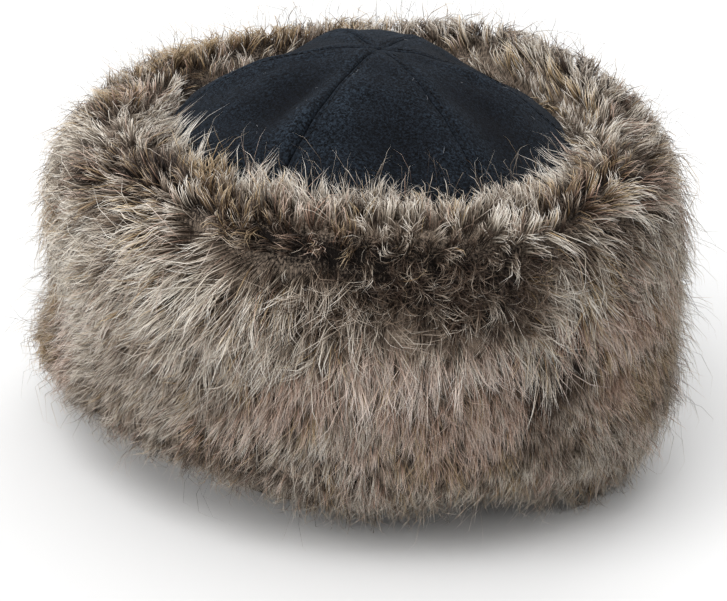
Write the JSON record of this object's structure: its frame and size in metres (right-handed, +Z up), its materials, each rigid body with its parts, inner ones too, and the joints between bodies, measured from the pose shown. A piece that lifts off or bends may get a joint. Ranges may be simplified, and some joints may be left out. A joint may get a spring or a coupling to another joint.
{
  "type": "turkmen telpek hat with a felt crown",
  "caption": "Round winter hat: a soft dark felt dome of sewn gores, sunk in a deep cuff of shaggy grey-brown pile, open underneath for the head.",
  "frame": {"origin": "middle of the hem, on the surface that the hat stands on", "axes": "+Z up through the top of the crown, -Y towards the front"},
  "size_m": [0.305, 0.3025, 0.179],
  "materials": {
    "crown_felt": "matt navy-black wool felt",
    "cuff_fur": "long grey-brown pile with pale tips"
  },
  "bodies": {
    "root": {"crown_panel_1": "crown_felt", "crown_panel_2": "crown_felt", "crown_panel_3": "crown_felt", "crown_panel_4": "crown_felt", "crown_panel_5": "crown_felt", "crown_panel_6": "crown_felt", "fur_cuff": "cuff_fur"}
  },
  "joints": []
}
